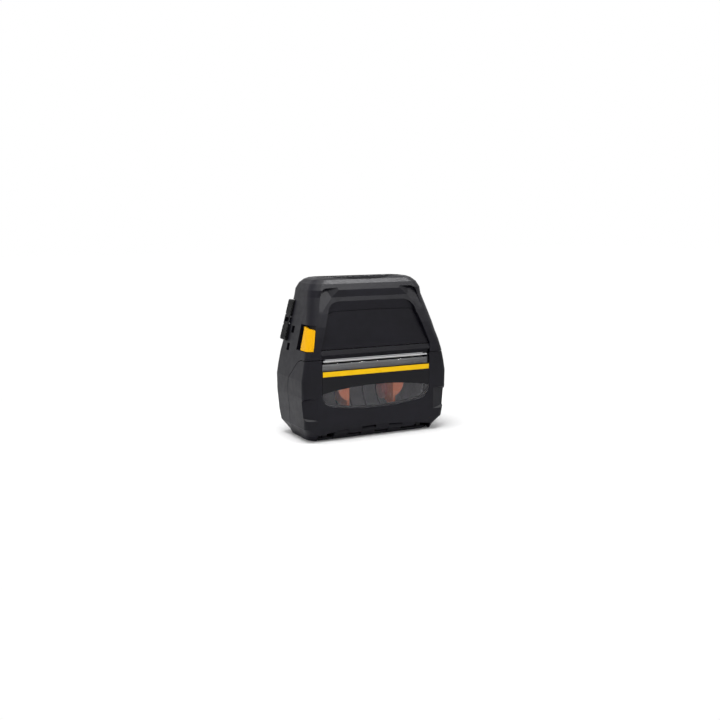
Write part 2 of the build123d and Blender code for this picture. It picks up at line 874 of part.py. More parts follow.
def make_door_frame():
    half, narrow = frame_half_width, lens_half_width
    outline = make_face(Polyline(
        (-half, frame_low), (-half, frame_shoulder), (-narrow, frame_shoulder + frame_step), (-narrow, frame_top),
        (narrow, frame_top), (narrow, frame_shoulder + frame_step), (half, frame_shoulder), (half, frame_low),
        close=True))
    frame = (form(frame_front_inset) - form(frame_back_inset)) & front_prism(outline)
    arch = under_arch(lens_half_width, window_arch_end, window_arch_top, 0)
    frame -= front_prism(lens_outline(window_rim, lens_top)) & front_prism(arch)
    outer = bracket_inner + bracket_thickness
    bracket = side_plate(bracket_outline, bracket_inner, outer)
    bracket -= rod_x(bracket_inner - 1, outer + 1, platen_y, platen_z, bush_radius)
    nose = past_nose(lens_nose - lens_thickness - lap)
    parts["door_frame"] = frame + both_sides(bracket) - nose
    bush = rod_x(bracket_inner, outer, platen_y, platen_z, bush_radius)
    bush -= rod_x(bracket_inner - 1, outer + 1, platen_y, platen_z, platen_shaft_radius + run_gap)
    parts["platen_bushes"] = Compound([bush, mirrored(bush)])


# Paper drive
def gear_train():
    """Middles of the idler and the motor pinion in the YZ plane, and the tooth angle of all three gears."""
    away = (-(platen_z - hinge_z), platen_y - hinge_y)
    length = hypot(*away)
    reach = gear_module * (platen_teeth + idler_teeth) / 2
    idler = (platen_y - reach * away[0] / length, platen_z - reach * away[1] / length)
    reach = gear_module * (idler_teeth + motor_teeth) / 2
    motor = (motor_y, idler[1] + sqrt(reach ** 2 - (motor_y - idler[0]) ** 2))
    platen_turn = atan2(idler[1] - platen_z, idler[0] - platen_y)
    idler_turn = platen_turn + pi + pi / idler_teeth
    line = atan2(motor[1] - idler[1], motor[0] - idler[0])
    motor_turn = line + pi - (pi - idler_teeth * (line - idler_turn)) / motor_teeth
    return idler, motor, (platen_turn, idler_turn, motor_turn)


def make_drive():
    idler, motor, (platen_turn, idler_turn, motor_turn) = gear_train()
    half, tip = platen_half_length, gear_end + 0.2
    roller = rod_x(-half, half, platen_y, platen_z, platen_radius)
    parts["platen_roller"] = roller - rod_x(-half - 1, half + 1, platen_y, platen_z, platen_shaft_radius)
    parts["platen_shaft"] = rod_x(-platen_shaft_end, tip, platen_y, platen_z, platen_shaft_radius)
    parts["platen_gear"] = gear_x(platen_teeth, platen_turn, platen_y, platen_z, platen_shaft_radius)
    parts["idler_gear"] = gear_x(idler_teeth, idler_turn, *idler, idler_axle_radius + run_gap)
    pinion = gear_x(motor_teeth, motor_turn, *motor, motor_shaft_radius)
    parts["motor_pinion"] = pinion + rod_x(motor_back + 3, tip, *motor, motor_shaft_radius)
    start, end, near, deep, high = motor_plug
    body = rod_x(motor_back, motor_front, *motor, motor_radius)
    body += rod_x(motor_front, plate_inner, *motor, motor_boss_radius)
    body += block(motor_back + start, motor_back + end, motor[0] + near, motor[0] + deep, motor[1] - high,
                  motor[1] + high)
    parts["drive_motor"] = body - rod_x(motor_back + 2.6, plate_outer, *motor, motor_shaft_radius + run_gap)


def make_frame_plates():
    def bore(y, z, radius):
        return rod_x(plate_inner - 1, plate_outer + 1, y, z, radius)

    plate = side_plate(plate_outline, plate_inner, plate_outer)
    plate -= bore(latch_y, latch_z, latch_shaft_radius + run_gap)
    plate -= bore(rail_y, rail_z, rail_radius)
    for y, z, radius in plate_holes:
        plate -= bore(y, z, radius)
    parts["left_frame_plate"] = mirrored(plate)
    idler, motor, _ = gear_train()
    plate += rod_x(plate_inner, gear_end + 0.9, *idler, idler_axle_radius)
    plate += rod_x(gear_end + fit_gap, gear_end + 0.9, *idler, idler_axle_radius + idler_flange)
    parts["right_frame_plate"] = plate - bore(*motor, motor_shaft_radius + 1.2)


def make_head():
    low = platen_z + platen_radius + nip_gap
    ceramic_top = low + ceramic_thickness
    sink_top = ceramic_top + heat_sink_height
    beam_low = sink_top + head_spring_height
    parts["printhead"] = slab(head_half_width, head_front, head_back, low, ceramic_top)
    sink = slab(head_half_width, head_front, head_back, ceramic_top, sink_top)
    for index in range(fin_count):
        y = head_front + fin_pitch * (index + 1)
        sink -= slab(head_half_width + 1, y - fin_gap / 2, y + fin_gap / 2, ceramic_top + fin_foot, sink_top + 1)
    beam = slab(plate_inner, head_beam_front, head_back, beam_low, beam_low + head_beam_height)
    for x in (-head_pin_x, head_pin_x):
        sink -= rod_z(ceramic_top + 1, sink_top + 1, x, head_pin_y, head_pin_radius + run_gap)
        beam += rod_z(ceramic_top + 2, beam_low + lap, x, head_pin_y, head_pin_radius)
    parts["heat_sink"] = sink
    parts["head_beam"] = beam
    start, sheet = head_front + 1, spring_sheet
    middle = start + 3.9
    end = start + 7.9
    leaf = ((start, sink_top), (start + sheet, sink_top), (middle, beam_low - sheet), (end - sheet, sink_top),
            (end, sink_top), (middle + 0.4, beam_low), (middle - 0.4, beam_low))
    inner, outer = head_spring_x - head_spring_width / 2, head_spring_x + head_spring_width / 2
    spring = side_plate(leaf, inner, outer)
    parts["head_springs"] = Compound([spring, mirrored(spring)])


# Latch
def make_latch():
    outer = hook_inner + hook_thickness
    hook = side_plate(hook_outline, hook_inner, outer)
    hook += rod_x(hook_inner, outer, latch_y, latch_z, latch_boss_radius)
    hook -= rod_x(hook_inner - 1, outer + 1, latch_y, latch_z, latch_shaft_radius)
    parts["latch_hooks"] = Compound([hook, mirrored(hook)])
    parts["latch_shaft"] = rod_x(-lever_outer, plate_outer + 1, latch_y, latch_z, latch_shaft_radius)
    rise = (stem_y - latch_y, stem_z - latch_z)
    reach = hypot(*rise)
    inner = lever_thickness - lever_outer
    arm = block(-lever_outer, inner, -lever_half_width, lever_half_width, 0, reach + lever_end)
    arm += rod_x(-lever_outer, inner, 0, 0, latch_boss_radius)
    arm -= rod_x(-lever_outer - 1, inner + 1, 0, 0, latch_shaft_radius)
    slot = stem_radius + stem_gap
    arm -= block(-lever_outer - 1, inner + 1, -slot, slot, reach - 1.2, reach + 5)
    arm -= rod_x(-lever_outer - 1, inner + 1, 0, reach - 1.2, slot)
    lean = degrees(atan2(*rise))
    parts["latch_lever"] = Pos(0, latch_y, latch_z) * Rot(-lean, 0, 0) * arm


def make_button(shell):
    cap = shell & side_plate(button_outline, -far, -pocket_side) & pocket_region(-button_gap)
    stem = rod_x(-stem_outer, lever_thickness + lap - lever_outer, stem_y, stem_z, stem_radius)
    parts["latch_button"] = cap + stem


# Media bay
def bay_block(limits, x0, x1):
    y0, y1, low, high = limits
    return block(x0, x1, y0, y1, bay_z + low, bay_z + high)


def make_bay():
    half = bay_end_inner + bay_wall
    outside = bay_radius + bay_wall
    inside = rod_x(-bay_end_inner, bay_end_inner, 0, bay_z, bay_radius)
    for index in range(rib_count):
        x = (index - (rib_count - 1) / 2) * rib_pitch
        rib = rod_x(x - rib_width / 2, x + rib_width / 2, 0, bay_z, bay_radius + 0.2)
        rib -= rod_x(x - rib_width, x + rib_width, 0, bay_z, bay_radius - rib_height)
        inside -= rib & bay_block(rib_box, x - rib_width, x + rib_width)
    keep = side_plate(bay_outline, -half - 1, half + 1)
    keep += both_sides(bay_block(bay_end_box, bay_end_inner, half))
    bay = (rod_x(-half, half, 0, bay_z, outside) - inside) & keep
    slot_start = guide_face - guide_travel_in - 1.0
    slot_end = guide_face + guide_travel_out + guide_plate + 0.8
    bay -= both_sides(block(slot_start, slot_end, rail_y - 2.4, rail_y + 2.4, 0, bay_z - 10))
    for y0, y1 in bay_feet:
        top = bay_z - sqrt(outside ** 2 - max(abs(y0), abs(y1)) ** 2) + lap
        bay += both_sides(block(*bay_foot_x, y0, y1, base_top, top))
    parts["media_bay"] = bay


def rack(side, start, end):
    """A toothed bar on the front (-1) or back (+1) side of the pinion, with a gap at X = 0."""
    pitch_line = rack_module * rack_teeth / 2
    step = pi * rack_module
    tip = pitch_line - tooth_tip * rack_module
    root = pitch_line + 1.1 * rack_module
    slope = tan(radians(pressure_angle))
    half = step / 4 - gear_backlash / 2
    foot = half + (root - pitch_line) * slope
    crest = half - (pitch_line - tip) * slope
    points = [(start, rack_back), (start, root)]
    for index in range(int(start / step), int(end / step) + 2):
        middle = (index + 0.5) * step
        if start < middle - half - 1 and middle + half + 1 < end:
            points += [(middle - foot, root), (middle - crest, tip), (middle + crest, tip), (middle + foot, root)]
    points += [(end, root), (end, rack_back)]
    bar = Pos(0, 0, rack_low) * extrude(make_face(Polyline(*points, close=True)), amount=rack_high - rack_low)
    return mirror(bar, Plane.XZ) if side < 0 else bar


def guide_arm():
    """What both roll guides share: side plate, wing, foot on the rail and pin for the disc."""
    inner, outer = guide_face, guide_face + guide_plate
    foot_back = rail_y + 1.9
    arm = side_plate((
        (guide_front, 25), (guide_front, guide_top), (6, guide_top), (6, 33), (-6, 29), (foot_back, 24),
        (foot_back, guide_foot_low), (rail_y - 1.9, guide_foot_low), (rail_y - 1.9, 22),
    ), inner, outer)
    near, corner = outer + 0.6, (wing_reach, wing_corner[0])
    wing = make_face(
        Polyline((inner + 0.2, wing_low), (inner + 0.2, guide_top), (wing_reach, guide_top), corner)
        + ThreePointArc(corner, (outer + 6.2, wing_corner[1]), (near, wing_low))
        + Line((near, wing_low), (inner + 0.2, wing_low)))
    arm += Pos(0, guide_front + wing_thickness, 0) * extrude(Plane.XZ * wing, amount=wing_thickness)
    arm += block(inner - 3, outer + 3, rail_y - 2, rail_y + 2, rail_z - 2.1, guide_foot_low + 0.2)
    arm += rod_x(inner - disc_pin_length, inner + 0.5, 0, bay_z, disc_pin_radius)
    return arm - rod_x(inner - 10, outer + 10, rail_y, rail_z, rail_radius + run_gap)


def make_guides():
    inner, outer = guide_face, guide_face + guide_plate + guide_tie
    tie_low, tie_front = rack_high + fit_gap, rail_y + 1.6
    right = guide_arm() + block(inner, outer, tie_front, rack_back, tie_low, tie_high)
    right += block(inner, outer, rack_back - rack_strip, rack_back, rack_low, tie_high)
    parts["right_roll_guide"] = right + rack(1, -rack_reach, outer)
    left = guide_arm() + block(inner, outer, tie_front, rack_strip - rack_back, tie_low, tie_high)
    left += block(inner, outer, -rack_back, rack_strip - rack_back, rack_low, tie_high)
    parts["left_roll_guide"] = mirrored(left) + rack(-1, -outer, rack_reach)
    face = inner - fit_gap
    disc = rod_x(face - disc_thickness, face, 0, bay_z, disc_radius)
    disc += rod_x(inner - disc_pin_length - 0.4, face - disc_thickness, 0, bay_z, disc_hub_radius)
    disc -= rod_x(inner - disc_pin_length - 0.1, inner + 1, 0, bay_z, disc_pin_radius + run_gap)
    parts["right_roll_disc"] = disc
    parts["left_roll_disc"] = mirrored(disc)
    parts["guide_rail"] = rod_x(-plate_outer, plate_outer, rail_y, rail_z, rail_radius)
    face = make_face(Polyline(*gear_points(rack_teeth, rack_module, pi / 2), close=True))
    pinion = Pos(0, 0, rack_low) * extrude(face, amount=rack_high - rack_low)
    parts["guide_pinion"] = pinion - rod_z(0, 10, 0, 0, rack_pin_radius + run_gap)


def make_label_sensor():
    half, back, top = sensor_eye
    bar = slab(plate_inner, *sensor_y, *sensor_z)
    parts["label_sensor"] = bar + slab(half, sensor_y[0], back, sensor_z[1], top)


# Boards
def make_main_board():
    """The main board and its parts, returning its screws."""
    back = board_y + board_thickness
    board = slab(board_half_width, board_y, back, board_low, board_high)
    screws = []
    for x, z in board_screw_places():
        board -= rod_y(board_y - 1, back + 1, x, z, screw_radius + 0.2)
        screw = rod_y(board_y - 1.8, back, x, z, screw_radius - 4 * run_gap)
        screws.append(screw + rod_y(back, back + 1.3, x, z, screw_head_radius - 0.2))
    parts["main_board"] = board
    chips = []
    for x, z, width, height, tall in chip_list:
        chips.append(block(x - width / 2, x + width / 2, back, back + tall, z - height / 2, z + height / 2))
    parts["board_chips"] = Compound(chips)
    return screws


# Battery
def make_battery_tray():
    half, low, high = battery_half_width + battery_gap, battery_low - battery_gap, battery_high + battery_gap
    front = battery_front - battery_gap
    tray = slab(half + tray_wall, front - tray_wall, far, low - tray_wall, high + tray_wall)
    tray -= slab(half, front, far + 1, low, high)
    tray = tray & form(frame_front_inset)
    middle = battery_low + contact_up
    tray -= slab(carrier_half_width + 0.4, 0, battery_front + 8, middle - 3, middle + 3)
    x, y, radius = tray_post
    tray += both_sides(rod_z(high + tray_wall - lap, key_board_top - key_board_thickness, x, y, radius))
    parts["battery_tray"] = tray
    pieces = []
    for x in contact_x:
        pieces.append(block(x - contact_half_width, x + contact_half_width, battery_front - carrier_depth,
                            battery_front - 0.2, middle - 2, middle + 2))
    pieces.append(slab(carrier_half_width, battery_front - 2 * carrier_depth, battery_front - carrier_depth,
                       middle - 2.6, middle + 2.6))
    parts["battery_contacts"] = Compound(pieces)


def make_battery():
    pack = slab(battery_half_width, battery_front, far, battery_low, battery_high) & form(0)
    for index in range(4):
        z = battery_low + 8.4 + 3.2 * index
        pack -= slab(16, back_face - grip_depth, far, z, z + vent_width)
    parts["battery_pack"] = pack
    wide, low, high = battery_latch_half, battery_latch_low, battery_low - fit_gap
    inside = back_face - wall
    latch = slab(wide, inside, back_face - 0.2, low, high)
    latch += slab(wide + battery_latch_lip, inside - 1.5, inside - lap, low - 0.4, battery_low - 2.4)
    latch += slab(wide, inside - 0.5, inside + 0.5, low, battery_low - 2.4)
    for index in range(3):
        z = low + 1.2 + 1.5 * index
        latch -= slab(6, back_face - grip_depth - lap, far, z, z + 0.7)
    parts["battery_latch"] = latch


# Control panel
def round_key(center, radius):
    return [Pos(*center) * Circle(radius + grow) for grow in (-key_gap, 0, key_flange)]


def square_key(center, size, corner, flange):
    """Outlines of a key's cap, of its hole and of its flange."""
    outlines = []
    for grow in (-key_gap, 0, flange):
        wide, deep = size[0] + 2 * grow, size[1] + 2 * grow
        outlines.append(Pos(*center) * RectangleRounded(wide, deep, corner))
    return outlines


def make_key(bezel, name, outlines):
    """Cut a key's hole in the bezel and make the key, returning the bezel."""
    cap, hole, flange = outlines
    bezel -= Pos(0, 0, key_board_top) * extrude(hole, amount=far)
    low = skin_low - 0.2 - key_flange_thickness
    room = Pos(0, 0, low - 0.9 - key_travel) * extrude(offset(flange, fit_gap), amount=2.3 + key_travel)
    foot = key_board_top + lap + key_travel
    key = Pos(0, 0, foot) * extrude(cap, amount=top_face + key_proud - foot)
    parts[name] = key + Pos(0, 0, low) * extrude(flange, amount=key_flange_thickness)
    return bezel - room


def make_controls(shell):
    bezel = shell & extrude(Pos(0, 0, skin_low - 5.6) * bezel_outline(0), amount=far)
    post_x, post_y, post_radius = bezel_post
    for x in post_x:
        for y in post_y:
            bezel += rod_z(key_board_top, skin_low + 0.5, x, y, post_radius)
    keys = {
        "navigation_pad": round_key(nav_center, nav_radius),
        "feed_button": square_key(feed_center, feed_size, feed_corner, key_flange),
        "power_button": round_key(power_center, power_radius),
    }
    for name, x in zip(("left_soft_key", "right_soft_key"), soft_key_x):
        keys[name] = square_key((x, soft_key_y), soft_key_size, soft_key_corner, key_flange - fit_gap)
    for name, outlines in keys.items():
        bezel = make_key(bezel, name, outlines)
    pipes = []
    for x in light_x:
        bezel -= rod_z(key_board_top, top_face + 1, x, light_y, light_radius + run_gap)
        pipes.append(rod_z(key_board_top + lap, top_face - light_sink, x, light_y, light_radius))
    parts["status_lights"] = Compound(pipes)
    (x0, x1), (y0, y1) = display_x, display_y
    parts["control_bezel"] = bezel - block(x0, x1, y0, y1, key_board_top, top_face + 1)
    parts["display_lens"] = block(x0 + lap, x1 - lap, y0 + lap, y1 - lap, skin_low + lap, top_face - lap)
    parts["display_module"] = block(x0 - 1, x1 + 1, y0 - 1, y1 + 1, key_board_top, skin_low - lap)
    parts["key_board"] = slab(key_board_half, *key_board_y, key_board_top - key_board_thickness, key_board_top)


# Ports
def make_port_block():
    half, high = port_half_width, port_half_height
    body = port_box(-half, half, -high, high, -port_depth, port_face)
    for side in (-1, 1):
        x0, x1 = sorted((side * port_ear_inner, side * (half - lap)))
        body += port_box(x0, x1, -port_ear_half, port_ear_half, port_face - lap, port_door_high)
    wide, deep = data_socket_half
    body -= port_rod(socket_offset, -9, 3, power_socket_radius + lap)
    body -= port_box(-wide - lap, wide + lap, -socket_offset - deep - lap, -socket_offset + deep + lap, -9, 3)
    pins = []
    for side in (-1, 1):
        body -= port_axis_rod(side, 20, port_pin_radius)
        pins.append(port_axis_rod(side, half + fit_gap, port_pin_radius))
    parts["port_block"] = body
    parts["port_hinge_pins"] = Compound(pins)


def make_port_cover(name, side):
    half, near, end = port_half_width, port_door_near, port_half_height - fit_gap
    cover = port_box(-half, half, *sorted((side * near, side * end)), port_door_low, port_door_high)
    tip = port_plane.from_local_coords(Vector(0, side * end, port_door_high))
    cover = fillet(cover.edges().sort_by_distance(tip)[0], port_door_corner)
    inner, outer = sorted((side * port_pin_offset, side * (near + 1)))
    cover += port_box(-port_knuckle_half, port_knuckle_half, inner, outer, port_door_low, port_door_high)
    cover += port_axis_rod(side, port_knuckle_half, port_knuckle_radius)
    cover -= port_axis_rod(side, 20, port_pin_radius + run_gap)
    rib = half - 0.8
    for index in range(port_rib_count):
        y = side * (near + 2.6 + port_rib_pitch * index)
        cover += port_box(-rib, rib, y - port_rib_width / 2, y + port_rib_width / 2, port_door_high - 0.2,
                          port_door_high + port_rib)
    parts[name] = cover


def make_sockets():
    socket = port_rod(socket_offset, -11.5, 0.5, power_socket_radius)
    socket -= port_rod(socket_offset, -6.5, 1.5, power_socket_bore)
    parts["power_socket"] = socket + port_rod(socket_offset, -7.5, -0.5, power_pin_radius)
    wide, deep = data_socket_half
    y = -socket_offset
    data = port_box(-wide, wide, y - deep, y + deep, -8, 0.5)
    wide, deep = wide - data_socket_wall, deep - data_socket_wall
    data -= port_box(-wide, wide, y - deep, y + deep, -6, 2)
    wide, deep = data_tongue_half
    parts["data_socket"] = data + port_box(-wide, wide, y - deep, y + deep, -6.5, -1)


def main():
    shell = body_shell()
    make_housing(shell)
    make_front_covers()
    rear_screws = make_rear()
    make_base()
    make_door(shell)
    make_door_frame()
    make_drive()
    make_frame_plates()
    make_head()
    make_latch()
    make_button(shell)
    make_bay()
    make_guides()
    make_label_sensor()
    parts["case_screws"] = Compound(rear_screws + make_main_board())
    make_battery_tray()
    make_battery()
    make_controls(shell)
    make_port_block()
    make_port_cover("upper_port_cover", 1)
    make_port_cover("lower_port_cover", -1)
    make_sockets()
    os.makedirs("parts", exist_ok=True)
    for name, shape in parts.items():
        export_step(shape, f"parts/{name}.step")


main()
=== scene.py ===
"""Looks of the portable label printer: its finishes, small marks, studio light and camera."""
import json
from math import cos, pi, radians, sin

import bpy
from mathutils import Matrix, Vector

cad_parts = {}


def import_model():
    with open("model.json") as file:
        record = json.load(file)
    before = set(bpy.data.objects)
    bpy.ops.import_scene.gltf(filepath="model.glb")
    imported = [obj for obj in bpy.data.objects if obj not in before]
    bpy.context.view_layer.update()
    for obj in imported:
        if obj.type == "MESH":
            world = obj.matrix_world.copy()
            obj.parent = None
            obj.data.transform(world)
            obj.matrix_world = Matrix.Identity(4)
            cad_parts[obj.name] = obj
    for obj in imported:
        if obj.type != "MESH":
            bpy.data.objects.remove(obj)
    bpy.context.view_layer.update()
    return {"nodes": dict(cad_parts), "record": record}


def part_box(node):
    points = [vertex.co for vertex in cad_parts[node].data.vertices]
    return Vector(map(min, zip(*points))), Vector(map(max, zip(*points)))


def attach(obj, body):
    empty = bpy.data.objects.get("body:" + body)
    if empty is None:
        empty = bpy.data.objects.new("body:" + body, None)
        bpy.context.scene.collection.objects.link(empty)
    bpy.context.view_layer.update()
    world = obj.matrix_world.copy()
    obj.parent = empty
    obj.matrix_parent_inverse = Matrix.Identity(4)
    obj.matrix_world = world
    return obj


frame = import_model()
nodes = frame["nodes"]

MM = 0.001

# Camera, fitted to the photograph
CAMERA_PLACE = (-0.4138, -0.7915, 0.2109)
CAMERA_PITCH = 8.9
CAMERA_TURN = 27.5
LENS = 45.0
SENSOR = 36.0

# World and floor; between the two distances from the printer the floor fades to plain white paper
WORLD_LIGHT = 0.62
FLOOR_SIZE = 9.0
FLOOR_DRIFT = 0.4
FADE_START = 0.24
FADE_END = 0.45
PAPER_DULL = (0.93, 0.93, 0.93)
PAPER_LIGHT = (0.95, 0.95, 0.95)
PAPER_GLOW = 1.08

# Lamps: name, place, point aimed at, size, power, and whether only gloss shows the lamp
LAMPS = (
    ("top_softbox", (-0.16, -0.08, 0.95), (0, 0, 0.1), (0.6, 0.5), 7.0, False),
    ("crown_sheen", (0.35, -0.3, 0.98), (0, 0, 0.14), (0.36, 0.36), 24.0, True),
    ("left_softbox", (-1.1, 0.5, 0.6), (0, 0, 0.08), (0.6, 0.8), 1.2, False),
    ("front_fill", (-1.0, -1.1, 0.9), (0, 0, 0.07), (0.8, 0.8), 2.5, False),
)

# Finishes: how large the colour drift, the sheen's patches, the grain, the haze and the brush marks are,
# and the range that noise mostly keeps to
DRIFT_SIZE = 30.0 * MM
SHEEN_SIZE = 6.0 * MM
GRAIN_SIZE = 0.35 * MM
GRAIN_DEPTH = 0.02 * MM
HAZE_SIZE = 12.0 * MM
BRUSH_SIZE = 40.0 * MM
BRUSH_DEPTH = 0.01 * MM
NOISE_RANGE = (0.3, 0.7)

# Print on the door's lens: the arch over the window, the top of the print and its soft edge
ARCH_HALF = 59.0 * MM
ARCH_END = 46.8 * MM
ARCH_TOP = 52.3 * MM
PRINT_TOP = 68.0 * MM
PRINT_EDGE = 0.2 * MM
PRINT_BLACK = (0.006, 0.006, 0.008)
WINDOW_GREY = (0.26, 0.26, 0.275)
WINDOW_HAZE = 0.13

# Media bay: the ribs' spacing, painted shade along each rib, and the height below which it is painted
# dark
RIB_PITCH = 16.0 * MM
RIB_SHADE_WIDTH = 0.9 * MM
RIB_SHADE_CORE = 0.6 * RIB_SHADE_WIDTH
PAINTED_SHADE_COLOUR = (0.01, 0.01, 0.012)
BAY_SHADE_HEIGHT = 14.0 * MM
BAY_SHADE_FADE = 2.0 * MM

# Pale strip behind the top of the door's lens: painted reflection of the top light in its rounded top
# edge
REFLECTION_STRIP_HALF = 58.0 * MM
REFLECTION_STRIP_FRONT = -31.12 * MM
REFLECTION_STRIP_BACK = -31.0 * MM
REFLECTION_STRIP_LOW = 68.2 * MM
REFLECTION_STRIP_HIGH = 74.8 * MM
REFLECTION_STRIP_BEVEL = 0.03 * MM

# Printed marks on the keys, and the angle under which a new piece's faces meet smoothly
SMOOTH_ANGLE = radians(35)
MARK_HEIGHT = 0.06 * MM
PAD_RING = 3.0 * MM
PAD_RING_WIDTH = 0.25 * MM
PAD_ARROW = 1.0 * MM
PAD_ARROW_OUT = 5.4 * MM
FEED_ARROW = 1.9 * MM
FEED_ARROW_UP = 0.8 * MM
FEED_BAR_LOW = 2.6 * MM
FEED_BAR_HIGH = 1.9 * MM
POWER_RING = 1.7 * MM
POWER_RING_WIDTH = 0.3 * MM
POWER_BAR_HALF = 0.17 * MM
POWER_BAR_LOW = 0.3 * MM
POWER_BAR_HIGH = 2.2 * MM
POWER_BAR_HEIGHT = 1.2 * MARK_HEIGHT
SOFT_MARK_HALF = 1.5 * MM
SOFT_MARK_DEPTH = 0.2 * MM


# Steps that the finishes share
def new_material(name):
    material = bpy.data.materials.new(name)
    material.use_nodes = True
    return material, material.node_tree, material.node_tree.nodes["Principled BSDF"]


def add(tree, kind, **values):
    node = tree.nodes.new(kind)
    for key, value in values.items():
        setattr(node, key, value)
    return node


def object_place(tree):
    return add(tree, "ShaderNodeTexCoord").outputs["Object"]


def source_of(shader, key):
    """What feeds one of a shader's inputs."""
    return shader.inputs[key].links[0].from_socket


def axes(tree):
    split = add(tree, "ShaderNodeSeparateXYZ")
    tree.links.new(object_place(tree), split.inputs[0])
    return split.outputs


def noise(tree, place, size, detail=3.0, rough=0.55):
    """Noise whose features are about the given size in metres."""
    node = add(tree, "ShaderNodeTexNoise")
    node.inputs["Scale"].default_value = 1.0 / size
    node.inputs["Detail"].default_value = detail
    node.inputs["Roughness"].default_value = rough
    tree.links.new(place, node.inputs["Vector"])
    return node.outputs["Fac"]


def spread(tree, value, low, high, to_low, to_high):
    """A value carried from one range to another, and held at its ends."""
    node = add(tree, "ShaderNodeMapRange")
    numbers = (low, high, to_low, to_high)
    for key, number in zip(("From Min", "From Max", "To Min", "To Max"), numbers):
        node.inputs[key].default_value = number
    tree.links.new(value, node.inputs["Value"])
    return node.outputs["Result"]


def calculate(tree, operation, *values):
    """One step of arithmetic, on numbers or on what other nodes give."""
    node = add(tree, "ShaderNodeMath", operation=operation)
    for socket, value in zip(node.inputs, values):
        if isinstance(value, float):
            socket.default_value = value
        else:
            tree.links.new(value, socket)
    return node.outputs[0]


def blend_colours(tree, value, first, second):
    node = add(tree, "ShaderNodeMix", data_type="RGBA")
    node.inputs["A"].default_value = (*first, 1)
    node.inputs["B"].default_value = (*second, 1)
    tree.links.new(value, node.inputs["Factor"])
    return node.outputs["Result"]


def paint_over(tree, shader, value, colour):
    """Lay a colour over a shader's own colour, where the value is one."""
    node = add(tree, "ShaderNodeMix", data_type="RGBA")
    node.inputs["B"].default_value = (*colour, 1)
    tree.links.new(value, node.inputs["Factor"])
    tree.links.new(source_of(shader, "Base Color"), node.inputs["A"])
    tree.links.new(node.outputs["Result"], shader.inputs["Base Color"])


def bump(tree, shader, height, depth):
    node = add(tree, "ShaderNodeBump")
    node.inputs["Distance"].default_value = depth
    tree.links.new(height, node.inputs["Height"])
    tree.links.new(node.outputs["Normal"], shader.inputs["Normal"])


# Kinds of finish
def moulded(name, colour, variation=0.25, rough=(0.42, 0.55), depth=GRAIN_DEPTH, level=0.3):
    """Moulded plastic or rubber: fine texture, faint colour drift and uneven sheen."""
    material, tree, shader = new_material(name)
    place = object_place(tree)
    drift = spread(tree, noise(tree, place, DRIFT_SIZE, 4.0), *NOISE_RANGE, 0.0, 1.0)
    dark = tuple(c * (1 - variation) for c in colour)
    light = tuple(min(1.0, c * (1 + variation)) for c in colour)
    tree.links.new(blend_colours(tree, drift, dark, light), shader.inputs["Base Color"])
    sheen = spread(tree, noise(tree, place, SHEEN_SIZE, 5.0), *NOISE_RANGE, *rough)
    tree.links.new(sheen, shader.inputs["Roughness"])
    bump(tree, shader, noise(tree, place, GRAIN_SIZE, 2.0, 0.6), depth)
    shader.inputs["Specular IOR Level"].default_value = level
    return material


def metal(name, colour, rough=(0.22, 0.4), stretch=(1, 60, 60)):
    """Brushed or ground metal, with its marks along one direction."""
    material, tree, shader = new_material(name)
    mapping = add(tree, "ShaderNodeMapping")
    mapping.inputs["Scale"].default_value = stretch
    tree.links.new(object_place(tree), mapping.inputs["Vector"])
    marks = noise(tree, mapping.outputs["Vector"], BRUSH_SIZE, 4.0)
    tree.links.new(spread(tree, marks, *NOISE_RANGE, *rough), shader.inputs["Roughness"])
    dull = tuple(c * 0.86 for c in colour)
    tree.links.new(blend_colours(tree, marks, dull, colour), shader.inputs["Base Color"])
    shader.inputs["Metallic"].default_value = 1.0
    bump(tree, shader, marks, BRUSH_DEPTH)
    return material


def clear(name, colour, alpha, rough=(0.03, 0.08), level=0.5):
    """Clear or tinted moulding that light passes through."""
    material, tree, shader = new_material(name)
    haze = noise(tree, object_place(tree), HAZE_SIZE, 4.0)
    tree.links.new(spread(tree, haze, *NOISE_RANGE, *rough), shader.inputs["Roughness"])
    tint = tuple(c * 0.85 for c in colour)
    tree.links.new(blend_colours(tree, haze, tint, colour), shader.inputs["Base Color"])
    body = spread(tree, haze, *NOISE_RANGE, alpha * 0.96, alpha * 1.04)
    tree.links.new(body, shader.inputs["Alpha"])
    shader.inputs["Specular IOR Level"].default_value = level
    return material


def printed_lens(name):
    """The door's lens: hazy at the window, printed black above it, and clear over the stripe."""
    material = clear(name, WINDOW_GREY, WINDOW_HAZE, level=0.14)
    tree = material.node_tree
    shader = tree.nodes["Principled BSDF"]
    place = axes(tree)
    drop = (ARCH_TOP - ARCH_END) / ARCH_HALF ** 2
    arch = calculate(tree, "MULTIPLY_ADD", calculate(tree, "POWER", place["X"], 2.0), drop, place["Z"])
    over = spread(tree, arch, ARCH_TOP - PRINT_EDGE / 2, ARCH_TOP + PRINT_EDGE / 2, 0.0, 1.0)
    under_top = spread(tree, place["Z"], PRINT_TOP, PRINT_TOP + PRINT_EDGE, 1.0, 0.0)
    printed = calculate(tree, "MULTIPLY", over, under_top)
    paint_over(tree, shader, over, PRINT_BLACK)
    body = calculate(tree, "MAXIMUM", source_of(shader, "Alpha"), printed)
    tree.links.new(body, shader.inputs["Alpha"])
    return material


